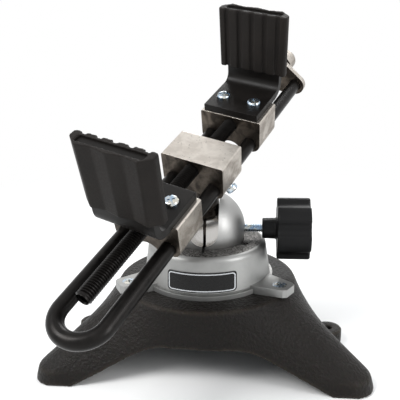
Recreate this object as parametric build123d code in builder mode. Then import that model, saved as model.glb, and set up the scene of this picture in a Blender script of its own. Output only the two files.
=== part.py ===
from build123d import *
from math import cos, radians, sin, sqrt
import os

# A bench vise with a self-centring head on a split-ball swivel and a
# three-legged cast stand. Millimetres, +Z up. The origin is on the swivel
# axis at the level the feet stand on; the two front legs point toward -Y
# and the clamp knob points along +X.

os.makedirs("parts", exist_ok=True)

# ---- fits and clearances
run_fit = 0.05            # radial clearance of a shaft that turns or slides
body_gap = 0.3            # between curved faces of pieces that only pass
bolt_gap = 0.3            # radial clearance of a screw in its hole

# ---- cast stand
plateau_z = 52.6          # top of the stand, where the housing is screwed on
toe_reach = 127.0         # swivel axis to the tip of a leg
toe_round = 15.0          # plan radius of a toe
toe_height = 9.0          # upright edge all round the floor
toe_lean = 2.5            # how far that edge leans in
side_hollow = 3.0         # how far the sides curve in from straight
hub_top_r = 63.0          # round hub under the housing, at the plateau
hub_turn = 22.0           # half of the share of the hub that runs into a leg, degrees
arch_rise = 26.0          # height of the arch between the front legs
arch_half = 83.0          # half its width on the floor
arch_flat = 31.5          # half its width along the top
arch_round = 40.0         # where the top turns down to the legs
rear_arch_half = 27.0     # the same under the two rear sides
rear_arch_rise = 22.0
cast_wall = 8.0
lug_reach = 89.0          # bench bolt holes, from the swivel axis
lug_bearing = 90.0        # degrees from the front
lug_radius = 10.0
lug_height = 12.0
lug_hole = 2.7

# ---- swivel housing
flange_r = 47.3
flange_t = 3.2
bolt_circle_r = 59.53     # half of the 119.06 mm bolt circle
ear_t = 5.5
ear_end_r = bolt_circle_r + 8.2
ear_root_half = 12.0      # half the width of an ear at the cone
ear_end_half = 7.4        # the same at its end
ear_corner = 2.2
screw_shank_r = 2.4
screw_head_r = 4.75
screw_length = 16.0
screw_boss_r = 6.5
ring_top_z = 80.5
ring_flat_r = 38.2
ring_shoulder = 4.0
shoulder_r = 42.4
cone_foot_r = 45.3
under_r = 36.0            # open underside of the housing
web_r = 28.0
badge_width = 46.0
badge_height = 13.0

# ---- split ball and clamp
ball_z = 88.3
ball_r = 27.4
slit_half = 1.0
groove_half = 10.1
groove_floor_r = 17.4
groove_reach = 80.0       # how far the groove lets the stem lean, degrees
ball_base_drop = 24.0     # flat under the ball, below its centre
neck_r = 9.0
web_t = 4.0
keeper_t = 3.0
keeper_r = 16.0
foot_t = 2.0
clamp_rod_r = 3.175       # quarter-inch rod
clamp_rod_end = 22.0      # how far it reaches past the centre, away from the knob
knob_hub_x = 39.5
knob_x = 49.8
knob_end_x = 72.9
knob_r = 21.8
hub_r = 7.6

# ---- attitude of the head at rest
tilt = 27.0               # about the clamp rod, far end raised
spin = 23.7               # about the stem, far end swung toward +X

# ---- head, measured from the ball centre: v right, u far, n up the stem
socket_r = groove_half - body_gap
socket_low_n = 18.0
socket_top_n = 31.0
tongue_t = 2 * (slit_half - run_fit)
tongue_r = 15.0
pin_r = 5.5
stem_r = 7.9375           # five-eighths of an inch across
block_half_u = 13.2
block_half_v = 21.9
block_low_n = 44.4
block_top_n = 69.3
corner_r = 6.6
corner_screw_r = 2.5      # screws that hold the U rod in the block
corner_head_r = 3.9
rod_r = 4.7625            # three-eighths rods
rod_v = 14.67
rod_n = 50.74
screw_n = 62.24
loop_u = -127.0           # where the U bend starts
screw_near_u = -124.7
plate_u = 126.0           # end plate, its near face
plate_t = 4.0
rod_far_u = plate_u + plate_t
lobe_r = 7.6
thumb_u = rod_far_u + 2.0
thumb_end_u = thumb_u + 12.0
thumb_r = 8.4
collar_r = 6.2
collar_t = 5.0

# ---- jaws at rest, mirrored about the ball centre
carrier_in_u = 41.0
carrier_out_u = 67.7
carrier_half_v = 22.3
carrier_top_n = 69.0
arch_half_v = 6.5
bracket_t = 4.9
bracket_half_v = 19.7
leg_u = 79.2              # inner face of the upright leg
leg_top_n = 125.6
bend_r = 6.0              # inside of the bend
pad_half_v = 24.4
pad_grip_u = 76.4
pad_back_u = 86.6         # crests of the wave on the back
pad_low_n = 85.2
pad_top_n = 127.0
pad_screw_u = 55.0
pad_screw_v = 11.5
pad_screw_r = 2.2         # screws that hold the bracket on the carrier
pad_screw_depth = 8.0
pad_head_r = 4.5

ball_centre = Vector(0, 0, ball_z)
head = Plane(
    Location((0, 0, ball_z), (tilt, 0, 0)) * Location((0, 0, 0), (0, 0, -spin))
)
head_v = Axis(ball_centre, head.x_dir)
head_u = Axis(ball_centre, head.y_dir)
head_n = Axis(ball_centre, head.z_dir)


def level(n):
    """Plane square to the stem at height n; sketch x is v, sketch y is u."""
    return head.offset(n)


def across(u):
    """Plane square to the rods at u; sketch x is v, sketch y is n."""
    spot = head.from_local_coords(Vector(0, u, 0))
    return Plane(spot, x_dir=head.x_dir, z_dir=-head.y_dir)


def beside(v):
    """Plane square to the width at v; sketch x is u, sketch y is n."""
    spot = head.from_local_coords(Vector(v, 0, 0))
    return Plane(spot, x_dir=head.y_dir, z_dir=head.x_dir)


def save(piece, name):
    piece.part.label = name
    export_step(piece.part, f"parts/{name}.step")


# Cast stand: one shell. Its outline on the floor has three round toes joined
# by slightly hollow sides, and its walls run up from there to a round hub.
# The inside is the same form one wall smaller. Each side opens in an arch,
# and a bench lug stands out at floor level on each rear side.
side_reach = (toe_reach - toe_round) * cos(radians(60)) + toe_round - side_hollow


def bearing_spot(r, bearing):
    return (r * cos(radians(bearing)), r * sin(radians(bearing)))


def stand_outline(tip, corner, turn, reach, z):
    """Three tips joined by arcs at height z; a circle when all reaches are equal."""
    with BuildSketch(Plane.XY.offset(z)) as outline:
        with BuildLine():
            for leg in (-30, 90, 210):
                ThreePointArc(
                    bearing_spot(corner, leg - turn),
                    bearing_spot(tip, leg),
                    bearing_spot(corner, leg + turn),
                )
                ThreePointArc(
                    bearing_spot(corner, leg + turn),
                    bearing_spot(reach, leg + 60),
                    bearing_spot(corner, leg + 120 - turn),
                )
        make_face()
    return outline.sketch.face()


def stand_form(toe, toe_r, hub_r, top_z):
    """The outside of the stand, or its hollow when called with less."""
    toe_spot = Vector(toe - toe_r, 0)
    half = toe_spot.X * sin(radians(60))
    gap = toe_r - side_hollow
    reach = toe_spot.X * cos(radians(60)) + gap
    side_arc = (gap**2 + half**2 - toe_r**2) / (2 * side_hollow)
    to_side = Vector(*bearing_spot(side_arc + reach, 60)) - toe_spot
    meet = toe_spot + to_side.normalized() * toe_r
    meet_turn = Vector(1, 0).get_angle(meet)
    on_floor = stand_outline(toe, meet.length, meet_turn, reach, 0)
    on_toes = stand_outline(
        toe - toe_lean, meet.length - toe_lean, meet_turn, reach - toe_lean, toe_height
    )
    on_top = stand_outline(hub_r, hub_r, hub_turn, hub_r, top_z)
    with BuildPart() as form:
        loft(sections=[on_floor, on_toes], ruled=True)
        loft(sections=[on_toes, on_top], ruled=True)
    return form


stand_outside = stand_form(toe_reach, toe_round, hub_top_r, plateau_z)
stand_inside = stand_form(
    toe_reach - 1.5 * cast_wall,
    toe_round - cast_wall,
    hub_top_r - cast_wall,
    plateau_z - cast_wall,
)

with BuildPart() as base_casting:
    add(stand_outside.part)
    add(stand_inside.part, mode=Mode.SUBTRACT)
    with BuildSketch(Plane.XY.offset(plateau_z)):
        with PolarLocations(bolt_circle_r, 3, start_angle=-30):
            Circle(screw_boss_r)
    extrude(amount=-screw_length)
    with BuildSketch(Plane.XZ) as front_arch:
        with BuildLine():
            Polyline(
                (-arch_half, 0),
                (-arch_flat, arch_rise),
                (arch_flat, arch_rise),
                (arch_half, 0),
                close=True,
            )
        make_face()
        fillet(front_arch.vertices().group_by(Axis.Y)[-1], arch_round)
    extrude(amount=side_reach * 3, mode=Mode.SUBTRACT)
    rear_arch_r = (rear_arch_half**2 + rear_arch_rise**2) / (2 * rear_arch_rise)
    for turn in (120, 240):
        with BuildSketch(Plane.XZ.rotated((0, 0, turn))):
            with Locations((0, rear_arch_rise - rear_arch_r)):
                Circle(rear_arch_r)
        extrude(amount=side_reach * 3, mode=Mode.SUBTRACT)
    for side in (-1, 1):
        spot = bearing_spot(lug_reach, side * (lug_bearing - 120))
        lug_root = spot[0] - side_reach + cast_wall
        lug_plane = Plane.XY.rotated((0, 0, side * 120 - 90))
        with BuildSketch(lug_plane) as lug:
            with Locations(spot):
                Circle(lug_radius)
                Rectangle(lug_root, 2 * lug_radius, align=(Align.MAX, Align.CENTER))
        extrude(amount=lug_height)
        with BuildSketch(lug_plane):
            with Locations(spot):
                Circle(lug_hole)
        extrude(amount=lug_height, mode=Mode.SUBTRACT)
    with Locations(Plane.XY.offset(plateau_z)):
        with PolarLocations(bolt_circle_r, 3, start_angle=-30):
            Hole(screw_shank_r + run_fit, depth=screw_length)
save(base_casting, "base_casting")


# Swivel housing: a lathe-turned shape with three screw ears. The ball sits
# in its socket and its neck passes through the web underneath.
web_top_z = ball_z - ball_base_drop
web_low_z = web_top_z - web_t
socket_rad = ball_r + body_gap
mouth_r = sqrt(socket_rad**2 - (ball_z - ring_top_z) ** 2)
pit_r = sqrt(socket_rad**2 - ball_base_drop**2)
shoulder_z = ring_top_z - ring_shoulder
cone_foot = (cone_foot_r, plateau_z + flange_t + 1.0)
mid_drop = 17.0
mid_r = sqrt(socket_rad**2 - mid_drop**2)

with BuildPart() as swivel_housing:
    with BuildSketch(Plane.XZ):
        with BuildLine():
            Polyline(
                (pit_r, web_top_z),
                (neck_r + run_fit, web_top_z),
                (neck_r + run_fit, web_low_z),
                (web_r, web_low_z),
                (under_r, plateau_z + 2.5),
                (under_r, plateau_z),
                (flange_r, plateau_z),
                (flange_r, plateau_z + flange_t),
                (cone_foot[0] - 0.6, plateau_z + flange_t),
                cone_foot,
                (shoulder_r, shoulder_z),
            )
            RadiusArc(
                (shoulder_r, shoulder_z), (ring_flat_r, ring_top_z), ring_flat_r - shoulder_r
            )
            Line((ring_flat_r, ring_top_z), (mouth_r, ring_top_z))
            ThreePointArc(
                (mouth_r, ring_top_z), (mid_r, ball_z - mid_drop), (pit_r, web_top_z)
            )
        make_face()
    revolve(axis=Axis.Z)
    for bearing in (-30, 90, 210):
        with BuildSketch(Plane.XY.offset(plateau_z).rotated((0, 0, bearing))) as ear:
            with BuildLine():
                Polyline(
                    (under_r + 1, -ear_root_half),
                    (under_r + 1, ear_root_half),
                    (flange_r, ear_root_half),
                    (ear_end_r - ear_corner, ear_end_half),
                    (ear_end_r, ear_end_half - ear_corner),
                    (ear_end_r, ear_corner - ear_end_half),
                    (ear_end_r - ear_corner, -ear_end_half),
                    (flange_r, -ear_root_half),
                    close=True,
                )
            make_face()
        extrude(amount=ear_t)
        with BuildSketch(Plane.XY.offset(plateau_z + ear_t)):
            with PolarLocations(bolt_circle_r, 1, start_angle=bearing):
                Circle(screw_head_r + 0.1)
        extrude(amount=20, mode=Mode.SUBTRACT)
    with Locations(Plane.XY.offset(plateau_z + ear_t)):
        with PolarLocations(bolt_circle_r, 3, start_angle=-30):
            CounterSinkHole(screw_shank_r + bolt_gap, screw_head_r, counter_sink_angle=90)
    with BuildSketch(Plane.XY.offset(ring_top_z)):
        with Locations((0, -29.2)):
            Rectangle(2.2, 7)
        with Locations(Location((26.4, -12.3), 65 - 90)):
            Rectangle(6, 6)
    extrude(amount=-4.5, mode=Mode.SUBTRACT)
save(swivel_housing, "swivel_housing")


# Countersunk cross-recessed screws that hold the housing to the stand.
def flat_screw(x, y):
    with BuildPart() as screw:
        top = Plane.XY.offset(plateau_z + ear_t)
        with BuildSketch(Plane(top.origin + Vector(x, y, 0))):
            Circle(screw_head_r - 0.05)
        extrude(amount=-(screw_head_r - screw_shank_r), taper=45)
        with BuildSketch(Plane(top.origin + Vector(x, y, 0))):
            Circle(screw_shank_r)
        extrude(amount=-screw_length)
        with BuildSketch(Plane(top.origin + Vector(x, y, 0))):
            Rectangle(5.2, 1.0, rotation=20)
            Rectangle(1.0, 5.2, rotation=20)
        extrude(amount=-1.6, mode=Mode.SUBTRACT)
    return screw.part


ear_screws = [
    flat_screw(bolt_circle_r * cos(radians(b)), bolt_circle_r * sin(radians(b)))
    for b in (-30, 90, 210)
]
housing_screws = Compound(label="housing_screws", children=ear_screws)
export_step(housing_screws, "parts/housing_screws.step")


# Bare plate on the front of the housing, bent to the cone.
cone_lean = (cone_foot_r - shoulder_r) / (shoulder_z - cone_foot[1])
badge_low = plateau_z + flange_t + 2.0
badge_high = badge_low + badge_height


def cone_r(z):
    return cone_foot[0] - (z - cone_foot[1]) * cone_lean


with BuildPart() as name_plate:
    with BuildSketch(Plane.XZ):
        with BuildLine():
            Polyline(
                (cone_r(badge_low), badge_low),
                (cone_r(badge_low) + 0.9, badge_low),
                (cone_r(badge_high) + 0.9, badge_high),
                (cone_r(badge_high), badge_high),
                close=True,
            )
        make_face()
    revolve(axis=Axis.Z)
    with BuildSketch(Plane.XZ):
        with Locations((0, (badge_low + badge_high) / 2)):
            RectangleRounded(badge_width, badge_height, 2.2)
    extrude(amount=2 * flange_r, mode=Mode.INTERSECT)
save(name_plate, "name_plate")


# Split ball: two halves with a slit between them, a groove for the stem
# and half a neck each. The keeper under the housing web holds both necks.
keeper_low_z = web_low_z - keeper_t
foot_low_z = keeper_low_z - foot_t


def ball_half(side):
    with BuildPart() as half:
        with Locations((0, 0, ball_z)):
            Sphere(ball_r)
        with Locations((0, 0, web_top_z)):
            Box(
                3 * ball_r,
                3 * ball_r,
                ball_r,
                align=(Align.CENTER, Align.CENTER, Align.MAX),
                mode=Mode.SUBTRACT,
            )
        with BuildSketch(Plane.XY.offset(web_top_z)):
            Circle(neck_r)
        extrude(amount=-(web_top_z - foot_low_z))
        with BuildSketch(Plane.XY.offset(foot_low_z)):
            Circle(neck_r + 1.8)
        extrude(amount=foot_t)
        with BuildSketch(Plane.YZ.offset(-groove_half)):
            with BuildLine():
                reach = 2 * ball_r
                lean = radians(groove_reach)
                start = (groove_floor_r * sin(lean), ball_z + groove_floor_r * cos(lean))
                stop = (-start[0], start[1])
                ThreePointArc(start, (0, ball_z + groove_floor_r), stop)
                Polyline(
                    stop,
                    (-reach * sin(lean), ball_z + reach * cos(lean)),
                    (-reach, ball_z + reach),
                    (reach, ball_z + reach),
                    (reach * sin(lean), ball_z + reach * cos(lean)),
                    start,
                )
            make_face()
        extrude(amount=2 * groove_half, mode=Mode.SUBTRACT)
        for lean in (-groove_reach, groove_reach):
            leaning = Plane(Location((0, 0, ball_z), (lean, 0, 0)))
            with BuildSketch(leaning.offset(groove_floor_r)):
                Circle(groove_half)
            extrude(amount=ball_r, mode=Mode.SUBTRACT)
        with Locations((side * (slit_half - 2 * ball_r), 0, ball_z)):
            Box(4 * ball_r, 4 * ball_r, 4 * ball_r, mode=Mode.SUBTRACT)
        with BuildSketch(Plane.YZ):
            with Locations((0, ball_z)):
                Circle(clamp_rod_r + run_fit)
        extrude(amount=side * 2 * ball_r, mode=Mode.SUBTRACT)
    return half


ball_half_right = ball_half(1)
save(ball_half_right, "ball_half_right")
ball_half_left = ball_half(-1)
save(ball_half_left, "ball_half_left")

with BuildPart() as neck_keeper:
    with BuildSketch(Plane.XY.offset(keeper_low_z)):
        Circle(keeper_r)
        Circle(neck_r + run_fit, mode=Mode.SUBTRACT)
    extrude(amount=keeper_t)
save(neck_keeper, "neck_keeper")


# Clamp rod through both halves, with the six-lobed hand knob moulded on it.
rod_in_knob = knob_end_x - 8
with BuildPart() as clamp_rod:
    with BuildSketch(Plane.YZ.offset(-clamp_rod_end)):
        with Locations((0, ball_z)):
            Circle(clamp_rod_r)
    extrude(amount=clamp_rod_end + rod_in_knob)
    chamfer(edges().sort_by(Axis.X)[0], 0.6)
save(clamp_rod, "clamp_rod")

with BuildPart() as clamp_knob:
    with BuildSketch(Plane.YZ.offset(knob_x)):
        with Locations(Location((0, ball_z), 15)):
            Circle(knob_r)
            with PolarLocations(knob_r + 3.4, 6, start_angle=30):
                Circle(6.6, mode=Mode.SUBTRACT)
        fillet(vertices(), 1.8)
    extrude(amount=knob_end_x - knob_x)
    chamfer(faces().sort_by(Axis.X)[-1].edges(), 0.8)
    with BuildSketch(Plane.YZ.offset(knob_hub_x)):
        with Locations((0, ball_z)):
            Circle(hub_r - 0.3)
    extrude(amount=knob_x - knob_hub_x, taper=-1.5)
    with BuildSketch(Plane.YZ.offset(knob_hub_x)):
        with Locations((0, ball_z)):
            Circle(clamp_rod_r)
    extrude(amount=rod_in_knob - knob_hub_x, mode=Mode.SUBTRACT)
save(clamp_knob, "clamp_knob")


# Tilting socket: a thin tongue in the slit, turning on the clamp rod, below
# a round socket that carries the pin of the stem.
with BuildPart() as tilt_socket:
    with BuildSketch(Plane.YZ.offset(-tongue_t / 2)):
        with Locations((0, ball_z)):
            Circle(tongue_r)
    extrude(amount=tongue_t)
    leaning = Plane(Location((0, 0, ball_z), (tilt, 0, 0)))
    with BuildSketch(leaning.offset(4)):
        Rectangle(tongue_t, 15)
    extrude(amount=socket_low_n - 4 + 1)
    with BuildSketch(leaning.offset(socket_low_n)):
        Circle(socket_r)
    extrude(amount=socket_top_n - socket_low_n)
    with BuildSketch(leaning.offset(socket_top_n)):
        Circle(pin_r + run_fit)
    extrude(amount=-(socket_top_n - socket_low_n - 3), mode=Mode.SUBTRACT)
    with BuildSketch(Plane.YZ.offset(-tongue_t)):
        with Locations((0, ball_z)):
            Circle(clamp_rod_r + run_fit)
    extrude(amount=2 * tongue_t, mode=Mode.SUBTRACT)
save(tilt_socket, "tilt_socket")


# Stem: a pin that turns in the socket, a round shank and its end in the block.
stem_top_n = block_low_n + 11
with BuildPart() as stem:
    with BuildSketch(level(socket_low_n + 3.2)):
        Circle(pin_r)
    extrude(amount=socket_top_n - socket_low_n - 3.2)
    with BuildSketch(level(socket_top_n)):
        Circle(stem_r)
    extrude(amount=stem_top_n - socket_top_n)
save(stem, "stem")


# Centre block: bored for the two rods, the lead screw and the stem, with
# lower corners rounded about the rods.
def rod_section(half_v, low_n, top_n, arch_v):
    """Outline of the block and of the carriers, with holes for the rods."""
    with BuildSketch(Plane.XY) as outline:
        with Locations((0, (low_n + top_n) / 2)):
            Rectangle(2 * half_v, top_n - low_n)
        fillet(outline.vertices().group_by(Axis.Y)[0], corner_r)
        if arch_v:
            with Locations((0, low_n - 3.5)):
                Circle(arch_v + 1.5, mode=Mode.SUBTRACT)
        with Locations((-rod_v, rod_n), (rod_v, rod_n)):
            Circle(rod_r + run_fit, mode=Mode.SUBTRACT)
        with Locations((0, screw_n)):
            Circle(rod_r + run_fit, mode=Mode.SUBTRACT)
    return outline.sketch


block_section = rod_section(block_half_v, block_low_n, block_top_n, 0)
clamp_lean = 45.0
clamp_reach = rod_r + run_fit

with BuildPart() as centre_block:
    with BuildSketch(across(block_half_u)):
        add(block_section)
    extrude(amount=2 * block_half_u)
    chamfer(edges().filter_by(head_u).sort_by(head_n)[-2:], 0.8)
    with BuildSketch(level(block_low_n)):
        Circle(stem_r)
    extrude(amount=stem_top_n - block_low_n, mode=Mode.SUBTRACT)
    for side in (-1, 1):
        spot = head.from_local_coords(Vector(side * rod_v, 0, rod_n))
        outward = (head.x_dir * side - head.z_dir).normalized()
        with BuildSketch(Plane(spot, x_dir=head.y_dir, z_dir=outward)):
            Circle(corner_screw_r + run_fit)
        extrude(amount=20, mode=Mode.SUBTRACT)
save(centre_block, "centre_block")


# Two short screws through the lower corners of the block hold the U rod.
def corner_screw(side):
    spot = head.from_local_coords(Vector(side * rod_v, 0, rod_n))
    outward = (head.x_dir * side - head.z_dir).normalized()
    screw_plane = Plane(spot, x_dir=head.y_dir, z_dir=outward)
    with BuildPart() as screw:
        with BuildSketch(screw_plane.offset(rod_r)):
            Circle(corner_screw_r)
        extrude(amount=3.4)
        with BuildSketch(screw_plane.offset(rod_r + 2.9)):
            Circle(corner_head_r)
        extrude(amount=3.0)
        chamfer(edges().filter_by(GeomType.CIRCLE).sort_by(Axis(spot, outward))[-1], 0.7)
        with BuildSketch(screw_plane.offset(rod_r + 5.9)):
            Rectangle(9, 1.1)
        extrude(amount=-1.2, mode=Mode.SUBTRACT)
    return screw.part


rod_clamp_screws = Compound(
    label="rod_clamp_screws", children=[corner_screw(-1), corner_screw(1)]
)
export_step(rod_clamp_screws, "parts/rod_clamp_screws.step")


# U rod: one bar bent back on itself, both ends fixed in the end plate.
with BuildPart() as u_rod:
    with BuildLine(level(rod_n)) as path:
        right = Line((rod_v, rod_far_u), (rod_v, loop_u))
        bend = ThreePointArc((rod_v, loop_u), (0, loop_u - rod_v), (-rod_v, loop_u))
        left = Line((-rod_v, loop_u), (-rod_v, rod_far_u))
    with BuildSketch(Plane(path.line @ 0, z_dir=-head.y_dir)):
        Circle(rod_r)
    sweep()
save(u_rod, "u_rod")


# End plate: a rounded triangle over the two rod ends and the lead screw.
with BuildPart() as end_plate:
    with BuildSketch(across(plate_u + plate_t)):
        lobes = [(-rod_v, rod_n, lobe_r), (rod_v, rod_n, lobe_r), (0, screw_n, lobe_r)]
        for spot_v, spot_n, round_r in lobes:
            with Locations((spot_v, spot_n)):
                Circle(round_r)
        make_hull()
        with Locations((-rod_v, rod_n), (rod_v, rod_n)):
            Circle(rod_r, mode=Mode.SUBTRACT)
        with Locations((0, screw_n)):
            Circle(rod_r - 1 + run_fit, mode=Mode.SUBTRACT)
    extrude(amount=plate_t)
save(end_plate, "end_plate")


# Lead screw: threaded right-hand on the near side and left-hand on the far
# side, turned down to a journal where it passes the end plate.
journal_r = rod_r - 1
with BuildPart() as lead_screw:
    with BuildSketch(across(screw_near_u)):
        with Locations((0, screw_n)):
            Circle(rod_r)
    extrude(amount=-(plate_u - screw_near_u))
    chamfer(edges().filter_by(GeomType.CIRCLE).sort_by(head_u)[0], 1.0)
    with BuildSketch(across(plate_u)):
        with Locations((0, screw_n)):
            Circle(journal_r)
    extrude(amount=-(thumb_end_u - 2 - plate_u))
save(lead_screw, "lead_screw")

with BuildPart() as thumb_knob:
    with BuildSketch(across(rod_far_u)):
        with Locations((0, screw_n)):
            Circle(collar_r)
    extrude(amount=-(thumb_u - rod_far_u))
    with BuildSketch(across(thumb_u)):
        with Locations((0, screw_n)):
            Circle(thumb_r)
    extrude(amount=-(thumb_end_u - thumb_u))
    chamfer(edges().filter_by(GeomType.CIRCLE).sort_by(head_u)[-1], 1.2)
    with BuildSketch(across(rod_far_u)):
        with Locations((0, screw_n)):
            Circle(journal_r)
    extrude(amount=-(thumb_end_u - 2 - rod_far_u), mode=Mode.SUBTRACT)
save(thumb_knob, "thumb_knob")

with BuildPart() as screw_collar:
    with BuildSketch(across(plate_u)):
        with Locations((0, screw_n)):
            Circle(collar_r)
            Circle(rod_r, mode=Mode.SUBTRACT)
    extrude(amount=collar_t)
save(screw_collar, "screw_collar")


# One jaw, near (side -1) or far (side +1): a carrier on the rods and the
# screw, an L bracket, its two screws and a ribbed rubber sleeve.
carrier_section = rod_section(carrier_half_v, block_low_n, carrier_top_n, arch_half_v)
bracket_top_n = carrier_top_n + bracket_t


def carrier(side):
    first = max(side * carrier_in_u, side * carrier_out_u)
    with BuildPart() as body:
        with BuildSketch(across(first)):
            add(carrier_section)
        extrude(amount=carrier_out_u - carrier_in_u)
        chamfer(edges().filter_by(head_u).sort_by(head_n)[-2:], 0.8)
        spots = [
            head.from_local_coords(Vector(v, side * pad_screw_u, carrier_top_n))
            for v in (-pad_screw_v, pad_screw_v)
        ]
        for spot in spots:
            with BuildSketch(Plane(spot, x_dir=head.x_dir, z_dir=head.z_dir)):
                Circle(pad_screw_r + run_fit)
            extrude(amount=-pad_screw_depth - 1, mode=Mode.SUBTRACT)
    return body


def bracket(side):
    outer_u = leg_u + bracket_t
    with BuildPart() as body:
        with BuildSketch(beside(-bracket_half_v)):
            with BuildLine():
                outline = Polyline(
                    (side * (carrier_in_u + 0.7), carrier_top_n),
                    (side * outer_u, carrier_top_n),
                    (side * outer_u, leg_top_n),
                    (side * leg_u, leg_top_n),
                    (side * leg_u, bracket_top_n),
                    (side * (carrier_in_u + 0.7), bracket_top_n),
                    close=True,
                )
            make_face()
        extrude(amount=2 * bracket_half_v)
        widthwise = edges().filter_by(head_v)
        inside = widthwise.sort_by_distance(
            head.from_local_coords(Vector(0, side * leg_u, bracket_top_n))
        )[0]
        outside = widthwise.sort_by_distance(
            head.from_local_coords(Vector(0, side * outer_u, carrier_top_n))
        )[0]
        fillet(inside, bend_r)
        fillet(outside, bend_r + bracket_t)
        for v in (-pad_screw_v, pad_screw_v):
            spot = head.from_local_coords(Vector(v, side * pad_screw_u, bracket_top_n))
            with BuildSketch(Plane(spot, x_dir=head.x_dir, z_dir=head.z_dir)):
                Circle(pad_screw_r + bolt_gap)
            extrude(amount=-bracket_t, mode=Mode.SUBTRACT)
    return body


def pan_screw(side, v, turn):
    spot = head.from_local_coords(Vector(v, side * pad_screw_u, bracket_top_n))
    seat = Plane(spot, x_dir=head.x_dir, z_dir=head.z_dir)
    with BuildPart() as screw:
        with BuildSketch(seat):
            Circle(pad_head_r)
        extrude(amount=2.6)
        fillet(edges().filter_by(GeomType.CIRCLE).sort_by(head_n)[-1], 1.6)
        with BuildSketch(seat.offset(2.6)):
            Rectangle(10, 1.2, rotation=turn)
            Rectangle(1.0, 4.4, rotation=turn)
        extrude(amount=-1.3, mode=Mode.SUBTRACT)
        with BuildSketch(seat):
            Circle(pad_screw_r)
        extrude(amount=-(bracket_t + pad_screw_depth))
    return screw.part


rib_pitch = 9.2
rib_groove = 3.2
rib_depth = 1.4
wave_pitch = 18.0
wave_depth = 1.5


def pad(side):
    """The sleeve in section: waved on the back, rounded at the ends, ribbed in front."""
    back = [(v * wave_pitch / 2, pad_back_u - wave_depth * (v % 2)) for v in range(-2, 3)]
    end_u = pad_back_u - 3.4 * wave_depth
    outline = [
        (-pad_half_v + 1.2, pad_grip_u),
        (-pad_half_v, pad_grip_u + 1.2),
        (-pad_half_v, end_u),
        *back,
        (pad_half_v, end_u),
        (pad_half_v, pad_grip_u + 1.2),
        (pad_half_v - 1.2, pad_grip_u),
    ]
    with BuildPart() as body:
        low = level(pad_low_n)
        with BuildSketch(low):
            with BuildLine():
                Polyline([(v, side * u) for v, u in outline], close=True)
            make_face()
            for step in range(5):
                with Locations(((step - 2) * rib_pitch, side * pad_grip_u)):
                    Rectangle(rib_groove, 2 * rib_depth, mode=Mode.SUBTRACT)
        extrude(amount=pad_top_n - pad_low_n)
        with BuildSketch(low):
            with Locations((0, side * (leg_u + bracket_t / 2))):
                Rectangle(2 * bracket_half_v, bracket_t)
        extrude(amount=pad_top_n - pad_low_n, mode=Mode.SUBTRACT)
    return body


for side, end in ((-1, "near"), (1, "far")):
    save(carrier(side), f"{end}_carrier")
    save(bracket(side), f"{end}_bracket")
    save(pad(side), f"{end}_pad")
    pair = Compound(
        label=f"{end}_bracket_screws",
        children=[pan_screw(side, -pad_screw_v, 25), pan_screw(side, pad_screw_v, -50)],
    )
    export_step(pair, f"parts/{end}_bracket_screws.step")
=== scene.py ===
import bmesh
import bpy
from math import cos, radians, sin, tau
from mathutils import Matrix, Vector


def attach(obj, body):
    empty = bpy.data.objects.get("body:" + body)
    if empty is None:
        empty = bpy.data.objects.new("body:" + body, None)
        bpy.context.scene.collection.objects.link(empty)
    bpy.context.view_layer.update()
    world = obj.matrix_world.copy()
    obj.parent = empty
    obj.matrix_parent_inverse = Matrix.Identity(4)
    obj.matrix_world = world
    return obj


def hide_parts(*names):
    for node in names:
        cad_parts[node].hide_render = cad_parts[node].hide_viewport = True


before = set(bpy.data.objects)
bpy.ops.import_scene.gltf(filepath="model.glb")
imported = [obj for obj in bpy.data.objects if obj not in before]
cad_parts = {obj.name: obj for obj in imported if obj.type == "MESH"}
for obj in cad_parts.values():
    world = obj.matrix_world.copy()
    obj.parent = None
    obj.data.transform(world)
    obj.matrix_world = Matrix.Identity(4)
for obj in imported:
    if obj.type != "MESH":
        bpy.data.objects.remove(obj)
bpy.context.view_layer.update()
MM = 0.001

# Studio: a sheet of white paper under the vise that brightens to plain white
# with distance and keeps the shadow, a large soft lamp high on the left, a
# weaker one on the right and one behind. The camera stands low in front.


def linear(code):
    """An sRGB hex colour as the linear values that shader nodes take."""
    shares = [int(code[i : i + 2], 16) / 255 for i in (1, 3, 5)]
    return [s / 12.92 if s <= 0.04045 else ((s + 0.055) / 1.055) ** 2.4 for s in shares] + [1]


def new_finish(name):
    finish = bpy.data.materials.new(name)
    finish.use_nodes = True
    finish.node_tree.nodes.clear()
    return finish


def add(finish, kind, links=None, **settings):
    """Adds one node: its own settings, and for each socket a value or the output that feeds it."""
    node = finish.node_tree.nodes.new("ShaderNode" + kind)
    for name, value in settings.items():
        setattr(node, name, value)
    for socket, source in (links or {}).items():
        if isinstance(source, bpy.types.NodeSocket):
            finish.node_tree.links.new(source, node.inputs[socket])
        else:
            node.inputs[socket].default_value = source
    return node


def seen_share(finish):
    """1 where the eye, a metal reflection or a look through glass meets the backdrop, else 0."""
    rays = add(finish, "LightPath")
    mirrored = add(
        finish, "Math",
        {0: rays.outputs["Is Glossy Ray"], 1: rays.outputs["Is Transmission Ray"]},
        operation="MAXIMUM",
    )
    return add(
        finish, "Math",
        {0: rays.outputs["Is Camera Ray"], 1: mirrored.outputs[0]},
        operation="MAXIMUM",
    ).outputs[0]


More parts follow.
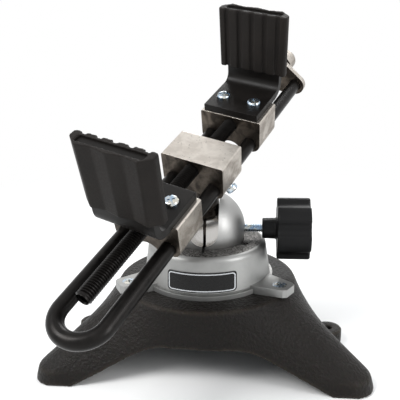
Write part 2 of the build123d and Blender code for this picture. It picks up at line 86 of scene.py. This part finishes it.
shadow_reach = 220.0
white_from = 620.0
paper = new_finish("white_paper")
paper_place = add(paper, "NewGeometry").outputs["Position"]
paper_reach = add(paper, "VectorMath", {0: paper_place}, operation="LENGTH")
paper_fade = add(
    paper, "MapRange",
    {"Value": paper_reach.outputs["Value"], "From Min": shadow_reach * MM, "From Max": white_from * MM},
    interpolation_type="SMOOTHSTEP",
)
paper_matt = add(paper, "BsdfDiffuse", {"Color": linear("#f4f4f3")})
paper_white = add(paper, "Emission", {"Color": linear("#ffffff"), "Strength": 1.0})
paper_share = add(
    paper, "Math", {0: seen_share(paper), 1: paper_fade.outputs["Result"]}, operation="MULTIPLY"
)
paper_mix = add(
    paper, "MixShader",
    {0: paper_share.outputs[0], 1: paper_matt.outputs[0], 2: paper_white.outputs[0]},
)
add(paper, "OutputMaterial", {"Surface": paper_mix.outputs[0]})

floor_mesh = bpy.data.meshes.new("floor")
floor_half = 3000 * MM
floor_mesh.from_pydata(
    [(-floor_half, -floor_half, 0), (floor_half, -floor_half, 0),
     (floor_half, floor_half, 0), (-floor_half, floor_half, 0)],
    [], [(0, 1, 2, 3)],
)
floor = bpy.data.objects.new("floor", floor_mesh)
floor.location.z = -0.3 * MM
bpy.context.scene.collection.objects.link(floor)
floor_mesh.materials.append(paper)

air = bpy.data.worlds.new("studio_air")
bpy.context.scene.world = air
air.use_nodes = True
air.node_tree.nodes.clear()
air_way = add(air, "SeparateXYZ", {0: add(air, "TexCoord").outputs["Generated"]})
air_level = add(
    air, "MapRange",
    {"Value": air_way.outputs["Z"], "From Min": 0.05, "From Max": 0.75, "To Min": 0.22, "To Max": 0.75},
)
air_light = add(
    air, "Background", {"Color": linear("#eef1f5"), "Strength": air_level.outputs["Result"]}
)
air_white = add(air, "Background", {"Color": linear("#ffffff"), "Strength": 1.0})
air_mix = add(
    air, "MixShader",
    {0: seen_share(air), 1: air_light.outputs[0], 2: air_white.outputs[0]},
)
add(air, "OutputWorld", {"Surface": air_mix.outputs[0]})

lamp_aim = Vector((0, 0, 110)) * MM
for lamp_name, place, width, height, watts in (
    ("key_lamp", (-620, -520, 900), 520, 520, 11.0),
    ("side_lamp", (760, -420, 420), 240, 620, 3.6),
    ("back_lamp", (180, 720, 760), 700, 300, 5.5),
):
    lamp = bpy.data.lights.new(lamp_name, "AREA")
    lamp.shape = "RECTANGLE"
    lamp.size = width * MM
    lamp.size_y = height * MM
    lamp.energy = watts
    stand_in = bpy.data.objects.new(lamp_name, lamp)
    stand_in.location = Vector(place) * MM
    stand_in.rotation_euler = (lamp_aim - stand_in.location).to_track_quat("-Z", "Y").to_euler()
    bpy.context.scene.collection.objects.link(stand_in)

lens = bpy.data.cameras.new("camera")
lens.sensor_width = 36.0
lens.lens = 48.61
lens.shift_x = -0.0173
lens.shift_y = 0.0173
camera = bpy.data.objects.new("camera", lens)
camera.location = Vector((35.6, -368.1, 208.4)) * MM
camera.rotation_euler = (radians(74.149), radians(0.823), radians(5.255))
bpy.context.scene.collection.objects.link(camera)
bpy.context.scene.camera = camera
bpy.context.scene.view_settings.view_transform = "Standard"


# Stand: one iron casting, blasted and powder coated in black wrinkle finish.
# The sand mould and the thick coat round every edge, so the casting is
# redrawn on a fine grid and eased; a paler brown painted highlight runs
# along the crests.


def eased_copy(node, body, grain, passes):
    """A piece that stands for a CAD node, the same shape with its edges rounded."""
    piece = bpy.data.objects.new(node + "_eased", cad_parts[node].data.copy())
    bpy.context.scene.collection.objects.link(piece)
    piece.data.materials.clear()
    grid = piece.modifiers.new("grid", "REMESH")
    grid.mode = "VOXEL"
    grid.voxel_size = grain * MM
    grid.use_smooth_shade = True
    ease = piece.modifiers.new("ease", "SMOOTH")
    ease.factor = 0.5
    ease.iterations = passes
    shape = bpy.data.meshes.new_from_object(
        piece.evaluated_get(bpy.context.evaluated_depsgraph_get())
    )
    piece.modifiers.clear()
    piece.data = shape
    shape.name = piece.name
    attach(piece, body)
    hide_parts(node)
    return piece


def wear(piece, finish):
    piece.data.materials.clear()
    piece.data.materials.append(finish)


wrinkle = new_finish("wrinkle_powder_coat")
place = add(wrinkle, "TexCoord").outputs["Object"]
pebble = add(
    wrinkle, "TexNoise",
    {"Vector": place, "Scale": 1 / (1.9 * MM), "Detail": 2.5, "Roughness": 0.6},
)
crease = add(
    wrinkle, "TexVoronoi",
    {"Vector": place, "Scale": 1 / (1.4 * MM), "Randomness": 1.0},
    feature="SMOOTH_F1",
)
cloud = add(wrinkle, "TexNoise", {"Vector": place, "Scale": 1 / (34 * MM), "Detail": 4})
# Sharp crests get a paler brown tone: a painted highlight along the ridges.
crest = add(
    wrinkle, "MapRange",
    {"Value": add(wrinkle, "NewGeometry").outputs["Pointiness"],
     "From Min": 0.505, "From Max": 0.56},
)
coat_tone = add(
    wrinkle, "Mix",
    {0: cloud.outputs["Fac"], 6: linear("#0e0c0a"), 7: linear("#181411")},
    data_type="RGBA",
)
crest_highlight_tone = add(
    wrinkle, "Mix",
    {0: crest.outputs["Result"], 6: coat_tone.outputs[2], 7: linear("#332d26")},
    data_type="RGBA",
)
pebble_tone = add(
    wrinkle, "Mix",
    {0: 0.35, 6: crest_highlight_tone.outputs[2], 7: pebble.outputs["Color"]},
    data_type="RGBA", blend_type="SOFT_LIGHT",
)
coat_gloss = add(
    wrinkle, "MapRange",
    {"Value": pebble.outputs["Fac"], "From Min": 0.3, "From Max": 0.7,
     "To Min": 0.54, "To Max": 0.36},
)
coarse = add(
    wrinkle, "Bump",
    {"Strength": 1.0, "Distance": 1.1 * MM, "Height": pebble.outputs["Fac"]},
)
fine = add(
    wrinkle, "Bump",
    {"Strength": 0.3, "Distance": 0.3 * MM, "Height": crease.outputs["Distance"],
     "Normal": coarse.outputs["Normal"]},
)
coat = add(
    wrinkle, "BsdfPrincipled",
    {"Base Color": pebble_tone.outputs[2], "Roughness": coat_gloss.outputs["Result"],
     "Normal": fine.outputs["Normal"], "Specular IOR Level": 0.17},
)
add(wrinkle, "OutputMaterial", {"Surface": coat.outputs[0]})

stand = eased_copy("base_casting", "stand", 1.15, 10)
wear(stand, wrinkle)


# Housing: an aluminium die casting, tumbled and left bare, held down by three
# screws. Tumbling leaves it satin with a faint grain, and the ring on top
# keeps the dark, speckled skin of the die.
ring_top = 80.5
ring_flat_r = 38.2
satin = new_finish("tumbled_aluminium")
place = add(satin, "TexCoord").outputs["Object"]
spot = add(satin, "SeparateXYZ", {0: place})
grain = add(
    satin, "TexNoise",
    {"Vector": place, "Scale": 1 / (0.9 * MM), "Detail": 3, "Roughness": 0.6},
)
stain = add(
    satin, "TexNoise", {"Vector": place, "Scale": 1 / (16 * MM), "Detail": 5, "Roughness": 0.65}
)
ring_height = add(
    satin, "MapRange",
    {"Value": spot.outputs["Z"],
     "From Min": (ring_top - 1.9) * MM, "From Max": (ring_top - 1.1) * MM},
)
ring_flat = add(
    satin, "MapRange",
    {"Value": add(satin, "VectorMath", {0: place, 1: (0, 0, ring_top * MM)}, operation="DISTANCE")
        .outputs["Value"],
     "From Min": (ring_flat_r + 1.6) * MM, "From Max": (ring_flat_r + 0.6) * MM},
)
ring_skin = add(
    satin, "Math",
    {0: ring_height.outputs["Result"], 1: ring_flat.outputs["Result"]},
    operation="MULTIPLY",
)
metal_tone = add(
    satin, "Mix",
    {0: stain.outputs["Fac"], 6: linear("#868786"), 7: linear("#aaaaa8")},
    data_type="RGBA",
)
speck_share = add(
    satin, "MapRange", {"Value": grain.outputs["Fac"], "From Min": 0.44, "From Max": 0.62}
)
skin_tone = add(
    satin, "Mix",
    {0: speck_share.outputs["Result"], 6: linear("#262524"), 7: linear("#8d8b88")},
    data_type="RGBA",
)
housing_tone = add(
    satin, "Mix",
    {0: ring_skin.outputs[0], 6: metal_tone.outputs[2], 7: skin_tone.outputs[2]},
    data_type="RGBA",
)
satin_gloss = add(
    satin, "MapRange",
    {"Value": stain.outputs["Fac"], "From Min": 0.3, "From Max": 0.75,
     "To Min": 0.42, "To Max": 0.54},
)
skin_gloss = add(
    satin, "Mix",
    {0: ring_skin.outputs[0], 2: satin_gloss.outputs["Result"], 3: 0.62},
    data_type="FLOAT",
)
satin_edge = add(satin, "Bevel", {"Radius": 0.35 * MM}, samples=6)
satin_bump = add(
    satin, "Bump",
    {"Strength": 0.16, "Distance": 0.15 * MM, "Height": grain.outputs["Fac"],
     "Normal": satin_edge.outputs[0]},
)
metal = add(
    satin, "BsdfPrincipled",
    {"Base Color": housing_tone.outputs[2], "Metallic": 0.9,
     "Roughness": skin_gloss.outputs[0], "Normal": satin_bump.outputs["Normal"]},
)
add(satin, "OutputMaterial", {"Surface": metal.outputs[0]})

wear(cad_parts["swivel_housing"], satin)


# Split ball: two aluminium die castings that the clamp rod pulls together.
# The outside is turned to a soft sheen and the groove is machined bright,
# with tool marks that run across it.
ball_r = 27.4
ball_metal = new_finish("turned_aluminium")
place = add(ball_metal, "TexCoord").outputs["Object"]
ball_centre = (0, 0, 88.3 * MM)
depth = add(ball_metal, "VectorMath", {0: place, 1: ball_centre}, operation="DISTANCE")
cut = add(
    ball_metal, "MapRange",
    {"Value": depth.outputs["Value"],
     "From Min": (ball_r - 0.3) * MM, "From Max": (ball_r - 0.7) * MM},
)
grain = add(
    ball_metal, "TexNoise",
    {"Vector": place, "Scale": 1 / (0.8 * MM), "Detail": 3, "Roughness": 0.6},
)
stretch = add(ball_metal, "Mapping", {"Vector": place, "Scale": (1 / MM, 0.03 / MM, 0.03 / MM)})
tool_mark = add(ball_metal, "TexNoise", {"Vector": stretch.outputs[0], "Scale": 2.2, "Detail": 3})
ball_tone = add(
    ball_metal, "Mix",
    {0: cut.outputs["Result"], 6: linear("#a3a3a2"), 7: linear("#c9c7c4")},
    data_type="RGBA",
)
ball_gloss = add(
    ball_metal, "Mix",
    {0: cut.outputs["Result"], 2: 0.45, 3: 0.2},
    data_type="FLOAT",
)
grain_bump = add(
    ball_metal, "Bump",
    {"Strength": 0.12, "Distance": 0.12 * MM, "Height": grain.outputs["Fac"]},
)
mark_bump = add(
    ball_metal, "Bump",
    {"Strength": 0.05, "Distance": 0.05 * MM, "Height": tool_mark.outputs["Fac"],
     "Normal": grain_bump.outputs["Normal"]},
)
metal = add(
    ball_metal, "BsdfPrincipled",
    {"Base Color": ball_tone.outputs[2], "Metallic": 0.95,
     "Roughness": ball_gloss.outputs[0], "Normal": mark_bump.outputs["Normal"]},
)
add(ball_metal, "OutputMaterial", {"Surface": metal.outputs[0]})
for half in ("ball_half_left", "ball_half_right"):
    wear(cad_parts[half], ball_metal)


# Plate on the front of the housing: thin black enamelled aluminium, bare,
# with a fine silver line left round its edge where the enamel stops.
plate_mid = (0, 0, 64.3 * MM)
line_half_width = 21.9 * MM
line_half_height = 5.5 * MM
line_corner = 1.7 * MM
line_half_stroke = 0.34 * MM
plate_finish = new_finish("enamelled_plate")
place = add(plate_finish, "TexCoord").outputs["Object"]
off_mid = add(plate_finish, "VectorMath", {0: place, 1: plate_mid}, operation="SUBTRACT")
flat_off = add(
    plate_finish, "VectorMath", {0: off_mid.outputs[0], 1: (1, 0, 1)}, operation="MULTIPLY"
)
folded = add(plate_finish, "VectorMath", {0: flat_off.outputs[0]}, operation="ABSOLUTE")
past_core = add(
    plate_finish, "VectorMath",
    {0: folded.outputs[0], 1: (line_half_width - line_corner, 0, line_half_height - line_corner)},
    operation="SUBTRACT",
)
past_edge = add(
    plate_finish, "VectorMath", {0: past_core.outputs[0], 1: (0, 0, 0)}, operation="MAXIMUM"
)
from_core = add(plate_finish, "VectorMath", {0: past_edge.outputs[0]}, operation="LENGTH")
silver_line = add(
    plate_finish, "Math",
    {0: from_core.outputs["Value"], 1: line_corner, 2: line_half_stroke},
    operation="COMPARE",
)
dust = add(plate_finish, "TexNoise", {"Vector": place, "Scale": 1 / (3 * MM), "Detail": 4})
enamel_tone = add(
    plate_finish, "Mix",
    {0: silver_line.outputs[0], 6: linear("#070708"), 7: linear("#c4c7ca")},
    data_type="RGBA",
)
enamel_gloss = add(
    plate_finish, "MapRange",
    {"Value": dust.outputs["Fac"], "From Min": 0.3, "From Max": 0.7, "To Min": 0.22, "To Max": 0.3},
)
enamel_bump = add(
    plate_finish, "Bump",
    {"Strength": 0.02, "Distance": 0.05 * MM, "Height": dust.outputs["Fac"]},
)
enamel = add(
    plate_finish, "BsdfPrincipled",
    {"Base Color": enamel_tone.outputs[2], "Roughness": enamel_gloss.outputs["Result"],
     "Metallic": silver_line.outputs[0], "Specular IOR Level": 0.3,
     "Normal": enamel_bump.outputs["Normal"]},
)
add(plate_finish, "OutputMaterial", {"Surface": enamel.outputs[0]})
wear(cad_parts["name_plate"], plate_finish)


# Screws: cold-headed steel, bright zinc plated. The plating is bluish with a
# straw tint in patches and a fine mottle.
zinc = new_finish("zinc_plated_steel")
place = add(zinc, "TexCoord").outputs["Object"]
mottle = add(
    zinc, "TexNoise", {"Vector": place, "Scale": 1 / (1.1 * MM), "Detail": 3, "Roughness": 0.6}
)
tint = add(zinc, "TexNoise", {"Vector": place, "Scale": 1 / (3.5 * MM), "Detail": 2})
tint_share = add(
    zinc, "MapRange", {"Value": tint.outputs["Fac"], "From Min": 0.42, "From Max": 0.66}
)
zinc_tone = add(
    zinc, "Mix",
    {0: tint_share.outputs["Result"], 6: linear("#a9bdd0"), 7: linear("#d6d3c8")},
    data_type="RGBA",
)
zinc_gloss = add(
    zinc, "MapRange",
    {"Value": mottle.outputs["Fac"], "From Min": 0.3, "From Max": 0.7, "To Min": 0.16, "To Max": 0.36},
)
zinc_bump = add(
    zinc, "Bump", {"Strength": 0.12, "Distance": 0.12 * MM, "Height": mottle.outputs["Fac"]}
)
metal = add(
    zinc, "BsdfPrincipled",
    {"Base Color": zinc_tone.outputs[2], "Metallic": 1.0,
     "Roughness": zinc_gloss.outputs["Result"], "Normal": zinc_bump.outputs["Normal"]},
)
add(zinc, "OutputMaterial", {"Surface": metal.outputs[0]})
for group in ("housing_screws", "rod_clamp_screws", "near_bracket_screws", "far_bracket_screws"):
    wear(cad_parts[group], zinc)


# Clamp rod and lead screw: bar stock with rolled 60 degree threads. The
# clamp rod is zinc plated, a quarter inch with 20 threads an inch; the lead
# screw is black oxide, three eighths with 16, right-hand on the near side
# and left-hand on the far side of the block.


def roll_thread(bar, start, end, crest, pitch, hand, sides):
    """Adds a threaded run to bar, along Z from start to end, each end chamfered."""
    thread_depth = 0.61 * pitch
    end_chamfer = 1.1
    root = crest - thread_depth
    profile = [(0.0, crest), (0.12, crest), (0.45, root), (0.67, root)]
    turns = int((end - start) / pitch) + 3
    run = bmesh.new()
    rows = []
    for turn in range(-1, turns):
        for share, radius in profile:
            row = []
            for step in range(sides):
                z = start + pitch * (turn + share + hand * step / sides)
                limit = crest - end_chamfer + min(max(z - start, 0), max(end - z, 0))
                r = min(radius, limit)
                angle = tau * step / sides
                row.append(run.verts.new((r * cos(angle), r * sin(angle), z)))
            rows.append(row)
    wrap = hand * len(profile)
    for low in range(len(rows) - 1):
        for step in range(sides):
            far_low, far_high = low, low + 1
            if step == sides - 1:
                far_low, far_high = low + wrap, low + 1 + wrap
            if not 0 <= min(far_low, far_high) <= max(far_low, far_high) < len(rows):
                continue
            nxt = (step + 1) % sides
            run.faces.new((rows[low][step], rows[far_low][nxt], rows[far_high][nxt], rows[low + 1][step]))
    for z, way in ((start, -1), (end, 1)):
        whole = run.verts[:] + run.edges[:] + run.faces[:]
        cut = bmesh.ops.bisect_plane(
            run, geom=whole, plane_co=(0, 0, z), plane_no=(0, 0, way), clear_outer=True
        )
        rim = [e for e in cut["geom_cut"] if isinstance(e, bmesh.types.BMEdge)]
        bmesh.ops.edgeloop_fill(run, edges=rim)
    bmesh.ops.recalc_face_normals(run, faces=run.faces)
    flat = bpy.data.meshes.new("run")
    run.to_mesh(flat)
    bar.from_mesh(flat)
    bpy.data.meshes.remove(flat)


def turn_plain(bar, start, end, radius, sides):
    """Adds a plain turned run to bar, along Z from start to end."""
    bmesh.ops.create_cone(
        bar, cap_ends=True, segments=sides, radius1=radius, radius2=radius, depth=end - start,
        matrix=Matrix.Translation((0, 0, (start + end) / 2)),
    )


def finish_bar(bar, name, place, body, node):
    mesh = bpy.data.meshes.new(name)
    bar.to_mesh(mesh)
    bar.free()
    mesh.transform(place @ Matrix.Scale(MM, 4))
    mesh.shade_smooth()
    mesh.set_sharp_from_angle(angle=radians(40))
    piece = bpy.data.objects.new(name, mesh)
    bpy.context.scene.collection.objects.link(piece)
    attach(piece, body)
    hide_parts(node)
    return piece


right_hand, left_hand = 1, -1
clamp_rod_r = 3.175
clamp_rod_pitch = 1.27
clamp_rod_run = (-22.0, 64.9)
rod_bar = bmesh.new()
roll_thread(rod_bar, *clamp_rod_run, clamp_rod_r, clamp_rod_pitch, right_hand, 24)
rod_place = Matrix.Translation(Vector(ball_centre)) @ Matrix.Rotation(radians(90), 4, "Y")
clamp_rod = finish_bar(rod_bar, "clamp_rod_thread", rod_place, "clamp", "clamp_rod")
wear(clamp_rod, zinc)

# Black oxide under a film of oil is near black with a soft sheen, and browns a
# little where it is handled.
black_oxide = new_finish("black_oxide_steel")
place = add(black_oxide, "TexCoord").outputs["Object"]
rub = add(
    black_oxide, "TexNoise", {"Vector": place, "Scale": 1 / (5 * MM), "Detail": 5, "Roughness": 0.7}
)
speck = add(black_oxide, "TexNoise", {"Vector": place, "Scale": 1 / (0.7 * MM), "Detail": 2})
oxide_tone = add(
    black_oxide, "Mix",
    {0: rub.outputs["Fac"], 6: linear("#0b0b0b"), 7: linear("#201d1b")},
    data_type="RGBA",
)
oxide_gloss = add(
    black_oxide, "MapRange",
    {"Value": rub.outputs["Fac"], "From Min": 0.3, "From Max": 0.7, "To Min": 0.26, "To Max": 0.4},
)
oxide_bump = add(
    black_oxide, "Bump", {"Strength": 0.08, "Distance": 0.1 * MM, "Height": speck.outputs["Fac"]}
)
metal = add(
    black_oxide, "BsdfPrincipled",
    {"Base Color": oxide_tone.outputs[2], "Metallic": 0.6, "Specular IOR Level": 0.3,
     "Roughness": oxide_gloss.outputs["Result"], "Normal": oxide_bump.outputs["Normal"]},
)
add(black_oxide, "OutputMaterial", {"Surface": metal.outputs[0]})

head_tilt = 27.0
head_spin = 23.7
head_place = (
    Matrix.Translation(Vector(ball_centre))
    @ Matrix.Rotation(radians(head_tilt), 4, "X")
    @ Matrix.Rotation(radians(-head_spin), 4, "Z")
)
screw_r = 4.7625
screw_pitch = 1.5875
screw_height = 62.24
screw_near_end = -124.7
screw_plain_half = 8.0
screw_shoulder = 126.0
screw_far_end = 142.0
screw_bar = bmesh.new()
roll_thread(screw_bar, screw_near_end, -screw_plain_half, screw_r, screw_pitch, right_hand, 28)
turn_plain(screw_bar, -screw_plain_half, screw_plain_half, screw_r, 28)
roll_thread(screw_bar, screw_plain_half, screw_shoulder, screw_r, screw_pitch, left_hand, 28)
turn_plain(screw_bar, screw_shoulder, screw_far_end, screw_r - 1, 28)
screw_place = (
    head_place
    @ Matrix.Translation(Vector((0, 0, screw_height)) * MM)
    @ Matrix.Rotation(radians(-90), 4, "X")
)
lead_screw = finish_bar(
    screw_bar, "lead_screw_thread", screw_place, "screw", "lead_screw"
)
wear(lead_screw, black_oxide)
wear(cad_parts["u_rod"], black_oxide)


# Stem, tilting socket, collar and keeper: turned steel, oiled. Turning leaves
# faint rings, and the oil darkens the steel to brown in patches.
turned = new_finish("turned_steel")
place = add(turned, "TexCoord").outputs["Object"]
stretch = add(turned, "Mapping", {"Vector": place, "Scale": (0.25 / MM, 0.25 / MM, 4 / MM)})
lathe = add(turned, "TexNoise", {"Vector": stretch.outputs[0], "Scale": 1.0, "Detail": 3})
oil = add(turned, "TexNoise", {"Vector": place, "Scale": 1 / (7 * MM), "Detail": 4})
steel_tone = add(
    turned, "Mix",
    {0: oil.outputs["Fac"], 6: linear("#24211f"), 7: linear("#4c4641")},
    data_type="RGBA",
)
steel_gloss = add(
    turned, "MapRange",
    {"Value": lathe.outputs["Fac"], "From Min": 0.3, "From Max": 0.7, "To Min": 0.22, "To Max": 0.38},
)
steel_bump = add(
    turned, "Bump", {"Strength": 0.08, "Distance": 0.08 * MM, "Height": lathe.outputs["Fac"]}
)
metal = add(
    turned, "BsdfPrincipled",
    {"Base Color": steel_tone.outputs[2], "Metallic": 1.0,
     "Roughness": steel_gloss.outputs["Result"], "Normal": steel_bump.outputs["Normal"]},
)
add(turned, "OutputMaterial", {"Surface": metal.outputs[0]})
for node in ("stem", "tilt_socket", "screw_collar", "neck_keeper"):
    wear(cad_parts[node], turned)


# Centre block, carriers, end plate and thumb knob: aluminium castings. The
# tops are faced on a belt; the other sides keep the patchy skin of the die,
# with small pits. Faces turned up are painted lighter, a painted highlight,
# and faces turned to the near end are painted darkest, a painted dark
# reflection; the patches are partly the die skin and partly painted
# reflection. The lines of the belt are finer than the picture shows, so they
# are drawn coarser.
head_turn = head_place.to_3x3()
head_up = head_turn @ Vector((0, 0, 1))
head_near = head_turn @ Vector((0, -1, 0))
faced = new_finish("faced_aluminium_painted_light")
place = add(faced, "TexCoord").outputs["Object"]
drawn = add(faced, "Mapping", {"Vector": place, "Scale": (0.12 / MM, 0.12 / MM, 2.4 / MM)})
belt = add(faced, "TexNoise", {"Vector": drawn.outputs[0], "Scale": 1.0, "Detail": 3})
cloud = add(
    faced, "TexNoise",
    {"Vector": place, "Scale": 1 / (9 * MM), "Detail": 5, "Roughness": 0.6, "Distortion": 0.4},
)
pit = add(faced, "TexVoronoi", {"Vector": place, "Scale": 1 / (2.6 * MM)}, feature="F1")
pit_share = add(
    faced, "MapRange",
    {"Value": pit.outputs["Distance"], "From Min": 0.06, "From Max": 0.16, "To Min": 1.0, "To Max": 0.0},
)
# Patches: partly the patchy skin of the die, partly painted reflection.
skin_and_reflection_share = add(
    faced, "MapRange", {"Value": cloud.outputs["Fac"], "From Min": 0.4, "From Max": 0.6}
)
upward = add(
    faced, "VectorMath",
    {0: add(faced, "TexCoord").outputs["Normal"], 1: head_up},
    operation="DOT_PRODUCT",
)
forward = add(
    faced, "VectorMath",
    {0: add(faced, "TexCoord").outputs["Normal"], 1: head_near},
    operation="DOT_PRODUCT",
)
# Faces turned to the near end get a dark tone: a painted dark reflection.
painted_dark_front_share = add(
    faced, "MapRange", {"Value": forward.outputs["Value"], "From Min": 0.5, "From Max": 0.9}
)
# Faces turned up are painted lighter: a painted highlight on the tops.
lit_top_share = add(
    faced, "MapRange", {"Value": upward.outputs["Value"], "From Min": 0.3, "From Max": 0.8}
)
side_tone = add(
    faced, "Mix",
    {0: skin_and_reflection_share.outputs["Result"], 6: linear("#8a8279"), 7: linear("#b1aaa1")},
    data_type="RGBA",
)
# Painted dark reflection on the faces turned to the near end.
painted_dark_front_tone = add(
    faced, "Mix",
    {0: skin_and_reflection_share.outputs["Result"], 6: linear("#332e29"), 7: linear("#5c544c")},
    data_type="RGBA",
)
rest_tone = add(
    faced, "Mix",
    {0: painted_dark_front_share.outputs["Result"], 6: side_tone.outputs[2], 7: painted_dark_front_tone.outputs[2]},
    data_type="RGBA",
)
# Painted highlight: the tone for the tops is set light for the light that falls on them.
painted_highlight_top_tone = add(
    faced, "Mix",
    {0: skin_and_reflection_share.outputs["Result"], 6: linear("#b6afa7"), 7: linear("#cbc5bd")},
    data_type="RGBA",
)
lit_and_shaded_tone = add(
    faced, "Mix",
    {0: lit_top_share.outputs["Result"], 6: rest_tone.outputs[2], 7: painted_highlight_top_tone.outputs[2]},
    data_type="RGBA",
)
pit_tone = add(
    faced, "Mix",
    {0: pit_share.outputs["Result"], 6: lit_and_shaded_tone.outputs[2], 7: linear("#4c463f")},
    data_type="RGBA",
)
face_gloss = add(
    faced, "MapRange",
    {"Value": cloud.outputs["Fac"], "From Min": 0.34, "From Max": 0.66, "To Min": 0.42, "To Max": 0.3},
)
face_edge = add(faced, "Bevel", {"Radius": 0.5 * MM}, samples=6)
belt_bump = add(
    faced, "Bump",
    {"Strength": 0.1, "Distance": 0.1 * MM, "Height": belt.outputs["Fac"],
     "Normal": face_edge.outputs[0]},
)
cloud_bump = add(
    faced, "Bump",
    {"Strength": 0.12, "Distance": 0.5 * MM, "Height": cloud.outputs["Fac"],
     "Normal": belt_bump.outputs["Normal"]},
)
metal = add(
    faced, "BsdfPrincipled",
    {"Base Color": pit_tone.outputs[2], "Metallic": 0.92,
     "Roughness": face_gloss.outputs["Result"], "Normal": cloud_bump.outputs["Normal"]},
)
add(faced, "OutputMaterial", {"Surface": metal.outputs[0]})
for node in ("centre_block", "near_carrier", "far_carrier", "end_plate", "thumb_knob"):
    wear(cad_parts[node], faced)


# Brackets: steel strip bent to an angle and coated in satin black. The
# coat has a faint orange peel, and its edges are shaded as rounded.
strip = new_finish("satin_black_coat")
place = add(strip, "TexCoord").outputs["Object"]
peel = add(strip, "TexNoise", {"Vector": place, "Scale": 1 / (1.2 * MM), "Detail": 2})
smear = add(strip, "TexNoise", {"Vector": place, "Scale": 1 / (12 * MM), "Detail": 4})
strip_tone = add(
    strip, "Mix",
    {0: smear.outputs["Fac"], 6: linear("#0b0a09"), 7: linear("#171412")},
    data_type="RGBA",
)
strip_gloss = add(
    strip, "MapRange",
    {"Value": smear.outputs["Fac"], "From Min": 0.3, "From Max": 0.7, "To Min": 0.34, "To Max": 0.5},
)
strip_edge = add(strip, "Bevel", {"Radius": 0.5 * MM}, samples=6)
strip_bump = add(
    strip, "Bump",
    {"Strength": 0.12, "Distance": 0.15 * MM, "Height": peel.outputs["Fac"],
     "Normal": strip_edge.outputs[0]},
)
coat = add(
    strip, "BsdfPrincipled",
    {"Base Color": strip_tone.outputs[2], "Roughness": strip_gloss.outputs["Result"],
     "Normal": strip_bump.outputs["Normal"], "Specular IOR Level": 0.16},
)
add(strip, "OutputMaterial", {"Surface": coat.outputs[0]})
for node in ("near_bracket", "far_bracket"):
    wear(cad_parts[node], strip)


# Jaw sleeves: moulded nitrile rubber pushed over the bracket legs, ribbed on
# the grip side and waved on the back. Moulding leaves soft edges, a dull
# skin and a pale bloom in patches.
rubber = new_finish("moulded_rubber")
place = add(rubber, "TexCoord").outputs["Object"]
skin = add(
    rubber, "TexNoise", {"Vector": place, "Scale": 1 / (0.9 * MM), "Detail": 3, "Roughness": 0.65}
)
bloom = add(
    rubber, "TexNoise", {"Vector": place, "Scale": 1 / (14 * MM), "Detail": 5, "Roughness": 0.6}
)
rubber_tone = add(
    rubber, "Mix",
    {0: bloom.outputs["Fac"], 6: linear("#131110"), 7: linear("#221e1b")},
    data_type="RGBA",
)
rubber_gloss = add(
    rubber, "MapRange",
    {"Value": skin.outputs["Fac"], "From Min": 0.3, "From Max": 0.7, "To Min": 0.5, "To Max": 0.68},
)
rubber_bump = add(
    rubber, "Bump", {"Strength": 0.15, "Distance": 0.12 * MM, "Height": skin.outputs["Fac"]}
)
skin_shell = add(
    rubber, "BsdfPrincipled",
    {"Base Color": rubber_tone.outputs[2], "Roughness": rubber_gloss.outputs["Result"],
     "Normal": rubber_bump.outputs["Normal"], "Specular IOR Level": 0.15},
)
add(rubber, "OutputMaterial", {"Surface": skin_shell.outputs[0]})
for end in ("near", "far"):
    sleeve = eased_copy(end + "_pad", end + "_jaw", 0.6, 3)
    wear(sleeve, rubber)


# Clamp knob: glass-filled nylon, moulded on the rod, six lobes with soft
# edges. The spark-finished mould leaves it dull; that texture is drawn
# coarser than it is, so that it shows.
nylon = new_finish("moulded_nylon")
place = add(nylon, "TexCoord").outputs["Object"]
spark = add(nylon, "TexNoise", {"Vector": place, "Scale": 1 / (0.6 * MM), "Detail": 2})
flow = add(nylon, "TexNoise", {"Vector": place, "Scale": 1 / (18 * MM), "Detail": 3})
nylon_tone = add(
    nylon, "Mix",
    {0: flow.outputs["Fac"], 6: linear("#070708"), 7: linear("#0f0f10")},
    data_type="RGBA",
)
nylon_gloss = add(
    nylon, "MapRange",
    {"Value": spark.outputs["Fac"], "From Min": 0.3, "From Max": 0.7, "To Min": 0.36, "To Max": 0.5},
)
nylon_bump = add(
    nylon, "Bump", {"Strength": 0.12, "Distance": 0.1 * MM, "Height": spark.outputs["Fac"]}
)
shell = add(
    nylon, "BsdfPrincipled",
    {"Base Color": nylon_tone.outputs[2], "Roughness": nylon_gloss.outputs["Result"],
     "Normal": nylon_bump.outputs["Normal"], "Specular IOR Level": 0.18},
)
add(nylon, "OutputMaterial", {"Surface": shell.outputs[0]})
knob = eased_copy("clamp_knob", "clamp", 0.7, 3)
wear(knob, nylon)
